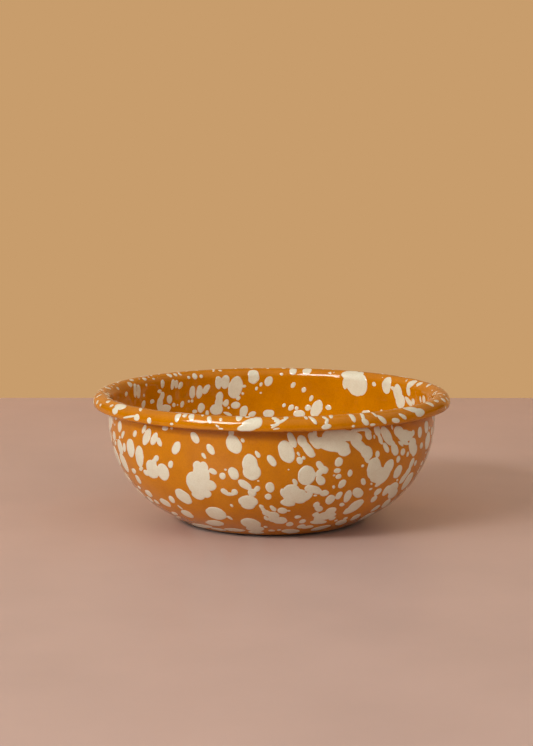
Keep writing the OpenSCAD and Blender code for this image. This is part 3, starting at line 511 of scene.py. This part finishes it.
class Splashes:
    """How far each point of a grid on the bowl lies inside the splashes, in mm."""

    def __init__(self, turns, runs, radii):
        self.turns, self.runs, self.radii = turns, runs, radii
        self.total = np.zeros((len(turns), len(runs)))

    def near(self, turn, run, reach):
        """The grid's columns and rows within reach of a place, and how far round each column is."""
        radius = float(np.interp(run, self.runs, self.radii))
        round_mm = np.radians((self.turns - turn + 180) % 360 - 180) * radius
        columns = np.nonzero(np.abs(round_mm) < reach)[0]
        rows = np.nonzero(np.abs(self.runs - run) < reach)[0]
        return columns, rows, round_mm

    def add(self, turn, run, long, wide, lean):
        """Adds an oval, whose lean tilts its length from where turns grow to where runs grow."""
        columns, rows, round_mm = self.near(turn, run, long / 2 + OVAL_MARGIN)
        if not len(rows):
            return
        across, along = round_mm[columns][:, None], (self.runs[rows] - run)[None, :]
        cosine, sine = math.cos(math.radians(lean)), math.sin(math.radians(lean))
        lengthwise, sideways = across * cosine + along * sine, -across * sine + along * cosine
        share = np.hypot(lengthwise / (long / 2), sideways / (wide / 2)) + TINY_SHARE
        inside = np.hypot(lengthwise, sideways) / share * (1 - share)
        self.total[np.ix_(columns, rows)] += np.exp(np.clip(inside, FARTHEST_OUT, DEEPEST_IN) / JOIN)

    def has_room(self, turn, run, reach):
        """Whether no splash lies within reach of a place."""
        columns, rows, _ = self.near(turn, run, reach)
        # The total is 1 on a splash's edge
        return not (self.total[np.ix_(columns, rows)] > 1).any()

    def depth(self):
        """How deep each point lies inside the splashes, in mm; less than 0 is outside them."""
        return JOIN * np.log(self.total + TINY_TOTAL)


def film(name, places, normals, depth, thick):
    """A mesh of what lies inside the splashes, rounded up from its edge to its full thickness."""
    inside = depth > 0
    rise = np.sqrt(np.clip(1 - (1 - np.clip(depth / EDGE_ROUND, 0, 1)) ** 2, 0, 1))
    height = thick * rise - SINK
    points, index = [], -np.ones(depth.shape, int)
    grid = np.nonzero(inside)
    base = places[grid] + normals[grid] * height[grid][:, None]
    index[grid] = np.arange(len(base))
    points.extend(base)
    crossing = {}

    def cross(a, b):
        """The point where the splash's edge crosses between two points of the grid."""
        key = (a, b) if a < b else (b, a)
        if key not in crossing:
            start, end = key
            share = depth[start] / (depth[start] - depth[end])
            share = min(max(share, CORNER_GAP), 1 - CORNER_GAP)
            crossing[key] = len(points)
            points.append(places[start] * (1 - share) + places[end] * share - normals[start] * SINK)
        return crossing[key]

    faces = []
    cells = inside[:-1, :-1].astype(int) + inside[1:, :-1] + inside[1:, 1:] + inside[:-1, 1:]
    for i, j in zip(*np.nonzero(cells)):
        ring = [(i, j), (i + 1, j), (i + 1, j + 1), (i, j + 1)]
        if cells[i, j] == 4:
            faces.append([index[corner] for corner in ring])
            continue
        face = []
        for a, b in zip(ring, ring[1:] + ring[:1]):
            if inside[a]:
                face.append(index[a])
            if inside[a] != inside[b]:
                face.append(cross(a, b))
        if len(face) > 2:
            faces.append(face)
    mesh = bpy.data.meshes.new(name)
    mesh.from_pydata([Vector(p) * MM for p in points], [], faces)
    mesh.polygons.foreach_set("use_smooth", [True] * len(mesh.polygons))
    mesh.validate()
    mesh.update()
    first = mesh.polygons[0]
    nearest = np.argmin(np.abs(places - np.array(first.center) / MM).sum(-1))
    if first.normal.dot(Vector(normals[np.unravel_index(nearest, depth.shape)])) < 0:
        mesh.flip_normals()
    piece = bpy.data.objects.new(name, mesh)
    bpy.context.scene.collection.objects.link(piece)
    return piece


def film_all_round(name, outline, field, side, depth, thick):
    """A film that goes all round the bowl; side is 1 outside, -1 on the food side."""
    radius, height, out, up = outline.at(field.runs)
    angle = np.radians(np.append(field.turns, field.turns[0] + 360) - 90)[:, None]
    level = np.ones_like(angle)
    places = np.stack([np.cos(angle) * radius, np.sin(angle) * radius, level * height], -1)
    normals = np.stack([np.cos(angle) * -up, np.sin(angle) * -up, level * out], -1) * side
    piece = film(name, places, normals, np.concatenate([depth, depth[:1]]), thick)
    join = piece.modifiers.new("Seam", "WELD")
    join.merge_threshold = SEAM_GAP * MM
    return piece


def length(name, description, millimetres):
    """A size that a user can change."""
    return bpy.props.FloatProperty(name=name, description=description, default=millimetres * MM,
                                   min=0.0, precision=4, unit="LENGTH", subtype="DISTANCE")


def color(name, description, hex_color):
    """A colour that a user can change."""
    return bpy.props.FloatVectorProperty(name=name, description=description, size=4, min=0.0, max=1.0,
                                         default=linear(hex_color), subtype="COLOR")


class BowlSize(bpy.types.PropertyGroup):
    rim_d: length("Rim diameter", "Across the rolled rim", 159)
    height: length("Height", "From the table to the top of the rim", 58)
    rim_overhang: length("Rim overhang", "How far the rim stands out past the wall", 6.8)
    wall_curve_r: length("Wall curve", "Radius of the wall's curve, outside", 45.9)
    foot_d: length("Foot diameter", "Outside diameter of the ring it stands on", 75)
    foot_round_r: length("Foot rounding", "Radius between the foot and the wall", 5)
    foot_ring_w: length("Foot ring width", "Width of the flat standing ring", 4)
    base_slope_w: length("Base slope width", "Between the standing ring and the raised middle", 4.5)
    base_lift: length("Base lift", "How far the middle of the base is pushed up", 1)
    lip_drop: length("Rim face", "Straight part of the rim's outer face", 0.7)
    lip_corner_r: length("Rim lower edge", "Rounding of the rim's lower edge", 1)
    sheet: length("Sheet", "Steel with its coats on both sides", 1.3)
    spatter: length("Splash thickness", "How far the cream stands out", 0.12)
    edge_wave: length("Splash edge wave", "How unevenly the splashes run at their edges", 0.10)


class BowlLook(bpy.types.PropertyGroup):
    mustard: color("Mustard", "Cover enamel", "#C87A00")
    mustard_thin: color("Mustard, thin", "Where the dark ground shows through a little", "#BE7200")
    cream: color("Cream", "Splatter enamel", "#E0DAC5")
    cream_thin: color("Cream, thin", "Where the mustard shows through a little", "#DCD3BC")
    floor: color("Table", "Painted table top", "#C8ACA2")
    backdrop: color("Backdrop", "Painted board behind the table", "#C89D6C")


def own_piece(piece, *nodes):
    """A cream piece that rides with the bowl, and stands for the CAD nodes named, if any."""
    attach(piece, "root")
    if nodes:
        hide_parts(*nodes)
    dress(piece, bpy.data.materials[CREAM])


def turns_round():
    """The turns of a grid's columns, all the way round."""
    count = round(360 / TURN_STEP)
    return np.arange(count) * 360 / count - 180


def uneven(field, size, seed):
    """The splashes' depth with an edge that wanders a little."""
    cell = (COLUMN_W, field.runs[1] - field.runs[0])
    return field.depth() + soft_noise(field.total.shape, cell, EDGE_GRAIN, seed) * size.edge_wave / MM


def on_wall(shift, side=1, start=0.0, down=0.0):
    """Places a row on a wall: turned by shift, mirrored if side is -1, and down from start."""
    return lambda row: (shift + side * row[0], start + row[1] + down, row[2], row[3], -side * row[4])


def spread(field, rows, placed):
    """Adds each row's oval where placed says."""
    for row in rows:
        field.add(*placed(row))


def sprinkle(field, seed, count, turns, runs, smallest=1.0, largest=7.0):
    """Drops by chance, many small and few large, where there is room; some are made of two or three."""
    rng = np.random.default_rng(seed)
    tries = 0
    while count > 0 and tries < MOST_TRIES:
        tries += 1
        turn, run = rng.uniform(*turns), rng.uniform(*runs)
        long = smallest * (largest / smallest) ** (rng.uniform() ** SMALL_COMMONER)
        wide, lean = long * rng.uniform(*DROP_WIDTH), rng.uniform(0, 180)
        joined = rng.integers(1, 3) if rng.uniform() < JOINED_SHARE else 0
        if not field.has_room(turn, run, long / 2 + DROP_GAP):
            continue
        field.add(turn, run, long, wide, lean)
        count -= 1
        radius = float(np.interp(run, field.runs, field.radii))
        for _ in range(joined):
            way, away = rng.uniform(0, 2 * math.pi), long * rng.uniform(*PART_AWAY)
            part = long * rng.uniform(*PART_LENGTH)
            field.add(turn + math.degrees(away * math.cos(way) / radius), run + away * math.sin(way),
                      part, part * rng.uniform(*PART_WIDTH), rng.uniform(0, 180))


class BOWL_OT_enamel(bpy.types.Operator):
    """Gives the steel and its coats their materials, and makes the splashes' cream"""
    bl_idname = "bowl.enamel"
    bl_label = "Enamel and steel"

    def execute(self, context):
        look = context.scene.bowl_look
        coats = {"cover": mustard_enamel(look), "ground": ground_enamel(), "steel": pressed_steel()}
        cream_enamel(look)
        for name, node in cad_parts.items():
            kind = name.split("_")[0]
            if kind in coats:
                dress(node, coats[kind])
        return {"FINISHED"}


class BOWL_OT_outside_splatter(bpy.types.Operator):
    """Makes the splatter on the outside wall, all the way round"""
    bl_idname = "bowl.outside_splatter"
    bl_label = "Splatter on the wall"

    def execute(self, context):
        size = context.scene.bowl_size
        outside, _, _ = outlines(size)
        runs = np.arange(0.0, WALL_RUN, WALL_STEP)
        radii, heights, _, _ = outside.at(runs)
        field = Splashes(turns_round(), runs, radii)
        large = [row for row in WALL_SPLASHES if row[2] > LARGE]
        small = [row for row in WALL_SPLASHES if row[2] <= LARGE]
        spread(field, WALL_SPLASHES, on_wall(0))
        for side in (1, -1):
            spread(field, SIDE_SPLASHES, on_wall(0, side))
        # The back repeats the front: large splashes mirrored, small ones turned half a circle
        spread(field, large, on_wall(180, -1))
        spread(field, small, on_wall(HALF_TURN))
        # Drops by chance on both sides, and finer ones at the back
        down = (1, 66)
        sprinkle(field, seed=21, count=60, turns=(68, 112), runs=down)
        sprinkle(field, seed=26, count=60, turns=(248, 292), runs=down)
        sprinkle(field, seed=27, count=40, turns=(112, 248), runs=down, smallest=0.9, largest=4.0)
        # The worn foot, whose dark band is also painted contact shade, is left bare of splashes
        depth = np.minimum(uneven(field, size, seed=11), runs[heights > BARE_FOOT_AND_SHADE_LINE].max() - runs)
        own_piece(film_all_round("spatter_outside", outside, field, 1, depth, size.spatter / MM),
                  *SPATTER_OUTSIDE)
        return {"FINISHED"}


class BOWL_OT_food_side_splatter(bpy.types.Operator):
    """Makes the splatter on the rim and on the inside wall"""
    bl_idname = "bowl.food_side_splatter"
    bl_label = "Splatter on the rim and inside"

    def execute(self, context):
        size = context.scene.bowl_size
        _, food, curl_r = outlines(size)
        quarter, degree = curl_r * math.pi / 2, curl_r * math.pi / 180
        ring_in = (size.foot_d / 2 - size.foot_ring_w) / MM
        # Runs count from the crest of the rim: outer face before it, inside wall after it
        runs = np.arange(-quarter - UNDER_CURL, food.run[food.points[:, 0] > ring_in].max(), RIM_STEP)
        field = Splashes(turns_round(), runs, food.at(runs)[0])

        def on_rim(shift):
            """Places a row on the rim, turned by shift."""
            return lambda row: (shift + row[0], (row[1] - 90) * degree, row[2], row[3], row[4])

        # The rim's far side repeats the rows near the front, and its near side those of the far half
        near = [row for row in RIM_SPLASHES if row[1] < 90 and abs(row[0]) < 60]
        far = [row for row in RIM_SPLASHES if row[1] > 90]
        lower = [row for row in WALL_SPLASHES if row[1] > SEEN_INSIDE]
        spread(field, RIM_SPLASHES, on_rim(0))
        spread(field, near + far, on_rim(HALF_TURN))
        spread(field, INSIDE_SPLASHES, on_wall(0, start=quarter))
        spread(field, INSIDE_SPLASHES, on_wall(HALF_TURN, start=quarter))
        # Below what the photograph shows, the outside's splashes repeat
        spread(field, lower, on_wall(180, 1, quarter, LOWER))
        spread(field, lower, on_wall(0, -1, quarter, LOWER))
        for side in (1, -1):
            spread(field, SIDE_SPLASHES, on_wall(0, side, quarter, LOWER))
        # Drops by chance inside the front, low inside the back, and finer ones on the rim's far half
        low, end = quarter + 27, runs[-1] - 1
        sprinkle(field, seed=22, count=150, turns=(-105, 105), runs=(quarter, end))
        sprinkle(field, seed=23, count=60, turns=(105, 255), runs=(low, end))
        sprinkle(field, seed=24, count=70, turns=(72, 288), runs=(-quarter, quarter * 0.6), smallest=0.9,
                 largest=4.0)
        depth = uneven(field, size, seed=12)
        own_piece(film_all_round("spatter_rim_and_inside", food, field, -1, depth, size.spatter / MM),
                  *SPATTER_FOOD_SIDE)
        return {"FINISHED"}


class BOWL_OT_base_splatter(bpy.types.Operator):
    """Makes the splatter on the base inside the bowl"""
    bl_idname = "bowl.base_splatter"
    bl_label = "Splatter on the base inside"

    def execute(self, context):
        size = context.scene.bowl_size
        _, food, _ = outlines(size)
        reach = (size.foot_d / 2 - size.foot_ring_w) / MM
        steps = np.arange(-reach, reach + BASE_STEP / 2, BASE_STEP)
        # At this radius a degree round is a millimetre, so the flat base's grid is in mm both ways
        field = Splashes(steps, steps, np.full(len(steps), 180 / math.pi))
        for turn, out, long, wide, lean in BASE_SPLASHES:
            angle = math.radians(turn - 90)
            field.add(out * math.cos(angle), out * math.sin(angle), long, wide, lean + turn)
        sprinkle(field, seed=25, count=90, turns=(-reach, reach), runs=(-reach, reach), largest=6.0)
        x, y = np.meshgrid(steps, steps, indexing="ij")
        far = np.hypot(x, y)
        radius, height = food.points[::-1].T
        places = np.stack([x, y, np.interp(far, radius[radius < reach], height[radius < reach])], -1)
        normals = np.zeros_like(places)
        normals[..., 2] = 1
        depth = np.minimum(uneven(field, size, seed=13), reach - BASE_STEP - far)
        # The food side's splatter already replaces the node that holds the base's solids
        own_piece(film("spatter_base", places, normals, depth, size.spatter / MM))
        return {"FINISHED"}


class BOWL_OT_stage(bpy.types.Operator):
    """Makes the table, the backdrop, the lights, the world and the camera"""
    bl_idname = "bowl.stage"
    bl_label = "Table, light and camera"

    def execute(self, context):
        look, scene = context.scene.bowl_look, context.scene
        corners = [(TABLE_HALF * across, TABLE_HALF * back, 0)
                   for across, back in ((-1, -1), (1, -1), (1, 1), (-1, 1))]
        sheet_piece("table", corners, table_top(look))
        # Boards stand on the table round the bowl, and each is seen from its inner side only
        board = [Vector((BOARD_AWAY * across, BOARD_AWAY, BOARD_H * up))
                 for across, up in ((-1, 0), (1, 0), (1, 1), (-1, 1))]
        for name, side in (("backdrop", 0), ("board_left", 90), ("board_right", -90), ("board_front", 180)):
            turn = Matrix.Rotation(math.radians(side), 3, "Z")
            sheet_piece(name, [turn @ corner for corner in board],
                                 painted_board(name, look, lit=name == "backdrop"))
        lamps = [
            area_light("Key", side=-42, up=31, away=2.3, size=(0.7, 0.26), power=22, tint=DAYLIGHT),
            area_light("Low key", side=-62, up=18, away=2.4, size=(0.8, 0.26), power=21.5, tint=DAYLIGHT),
            area_light("Fill", side=40, up=24, away=2.4, size=(1.6, 1.2), power=13, tint=WARM_BOUNCE)]
        for lamp in lamps:
            lamp.visible_glossy = False
        # Only its reflection shows, as the highlights on the rim and inside
        window = area_light("Window seen in the gloss", side=-42.6, up=39, away=2.3, size=(1.25, 0.85),
                            power=88, tint=WINDOW_LIGHT)
        window.visible_diffuse = False
        scene.world = room(look)
        scene.camera = camera()
        scene.view_settings.view_transform = "Standard"
        return {"FINISHED"}


def camera():
    """Stands and looks as the photograph's did, about 0.93 m from the bowl."""
    data = bpy.data.cameras.new("Camera")
    data.lens, data.sensor_width, data.sensor_fit = 100, 36, "AUTO"
    data.clip_start, data.clip_end = 0.05, 20
    piece = bpy.data.objects.new("Camera", data)
    piece.location = (0, -CAMERA_BACK, CAMERA_UP)
    # A camera that isn't turned looks straight down
    piece.rotation_euler = (math.radians(90 - LOOKS_DOWN), 0, math.radians(LOOKS_LEFT))
    bpy.context.scene.collection.objects.link(piece)
    return piece


def darker(shade, share):
    """The colour at a share of its brightness."""
    return [part * share for part in shade[:3]] + [1.0]


def table_top(look):
    # Board painted with matt emulsion: brushed on, so its tone wanders a little over centimetres
    material, tree, shader, place = new_material("Painted table top, matt", {"Roughness": 0.4, "IOR": 1.5})
    tone = mottled(tree, place, grain_mm=60.0, detail=4.0, low=(0.3, darker(look.floor, 0.93)),
                   high=(0.65, look.floor))
    tree.links.new(tone, shader.inputs["Base Color"])
    return material


def painted_board(name, look, lit):
    # The same paint in ochre: the camera sees it evenly lit, and sees through it from behind. It
    # throws light back on the bowl only where lit is true
    material, tree, shader, place = new_material(
        "Painted board, matt, " + name, {"Roughness": 0.7, "IOR": 1.5})
    tone = mottled(tree, place, grain_mm=90.0, detail=3.0, low=(0.35, darker(look.backdrop, 0.97)),
                   high=(0.65, look.backdrop))
    tree.links.new(tone, shader.inputs["Base Color"])
    clear = add_node(tree, "ShaderNodeBsdfTransparent").outputs[0]
    even = add_node(tree, "ShaderNodeEmission", {"Color": look.backdrop}).outputs[0]
    inner = add_node(tree, "ShaderNodeMixShader", links={
        0: add_node(tree, "ShaderNodeLightPath").outputs["Is Camera Ray"],
        1: shader.outputs[0] if lit else clear, 2: even}).outputs[0]
    both = add_node(tree, "ShaderNodeMixShader", links={
        0: add_node(tree, "ShaderNodeNewGeometry").outputs["Backfacing"], 1: inner, 2: clear}).outputs[0]
    tree.links.new(both, tree.nodes["Material Output"].inputs["Surface"])
    return material


def room(look):
    """A room that lights from overhead; the camera sees a plain backdrop all round."""
    world = bpy.data.worlds.new("Room")
    world.use_nodes = True
    tree = world.node_tree
    way = add_node(tree, "ShaderNodeTexCoord").outputs["Generated"]
    up = add_node(tree, "ShaderNodeSeparateXYZ", links={"Vector": way}).outputs["Z"]
    light = add_node(tree, "ShaderNodeValToRGB", links={"Fac": up},
                     stops=((0.15, linear("#2A2725")), (0.95, linear("#FFFDFA"))))
    lit = tree.nodes["Background"]
    tree.links.new(light.outputs["Color"], lit.inputs["Color"])
    lit.inputs["Strength"].default_value = ROOM_STRENGTH
    plain = add_node(tree, "ShaderNodeBackground", {"Color": look.backdrop})
    both = add_node(tree, "ShaderNodeMixShader", links={
        0: add_node(tree, "ShaderNodeLightPath").outputs["Is Camera Ray"],
        1: lit.outputs[0], 2: plain.outputs[0]})
    tree.links.new(both.outputs[0], tree.nodes["World Output"].inputs["Surface"])
    return world


def sheet_piece(name, corners, material):
    """A flat piece of the stage with these corners."""
    mesh = bpy.data.meshes.new(name)
    mesh.from_pydata(corners, [], [tuple(range(len(corners)))])
    piece = bpy.data.objects.new(name, mesh)
    bpy.context.scene.collection.objects.link(piece)
    dress(piece, material)
    return piece


def area_light(name, side, up, away, size, power, tint):
    """A soft light that faces the bowl, from degrees to the right of the camera and degrees up."""
    data = bpy.data.lights.new(name, "AREA")
    data.shape, data.size, data.size_y, data.energy, data.color = "RECTANGLE", *size, power, tint
    light = bpy.data.objects.new(name, data)
    side, up = math.radians(side), math.radians(up)
    way = Vector((math.sin(side) * math.cos(up), -math.cos(side) * math.cos(up), math.sin(up)))
    light.location = way * away + Vector((0, 0, LIGHTS_AIM))
    light.rotation_euler = way.to_track_quat("Z", "Y").to_euler()
    bpy.context.scene.collection.objects.link(light)
    return light


class BOWL_PT_panel(bpy.types.Panel):
    bl_idname = "BOWL_PT_panel"
    bl_label = "Splatter enamel bowl"
    bl_space_type = "VIEW_3D"
    bl_region_type = "UI"
    bl_category = "Bowl"

    def draw(self, context):
        layout = self.layout
        for group in (context.scene.bowl_size, context.scene.bowl_look):
            box = layout.box()
            for key in group.__annotations__:
                box.prop(group, key)
        for operator in OPERATORS:
            layout.operator(operator.bl_idname)


OPERATORS = (BOWL_OT_stage, BOWL_OT_enamel, BOWL_OT_outside_splatter, BOWL_OT_food_side_splatter,
             BOWL_OT_base_splatter)
CLASSES = (BowlSize, BowlLook) + OPERATORS + (BOWL_PT_panel,)


def register():
    for item in CLASSES:
        bpy.utils.register_class(item)
    bpy.types.Scene.bowl_size = bpy.props.PointerProperty(type=BowlSize)
    bpy.types.Scene.bowl_look = bpy.props.PointerProperty(type=BowlLook)


def unregister():
    del bpy.types.Scene.bowl_size, bpy.types.Scene.bowl_look
    for item in reversed(CLASSES):
        bpy.utils.unregister_class(item)


def main():
    register()
    for operator in OPERATORS:
        group, name = operator.bl_idname.split(".")
        getattr(getattr(bpy.ops, group), name)()


if __name__ == "__main__":
    main()
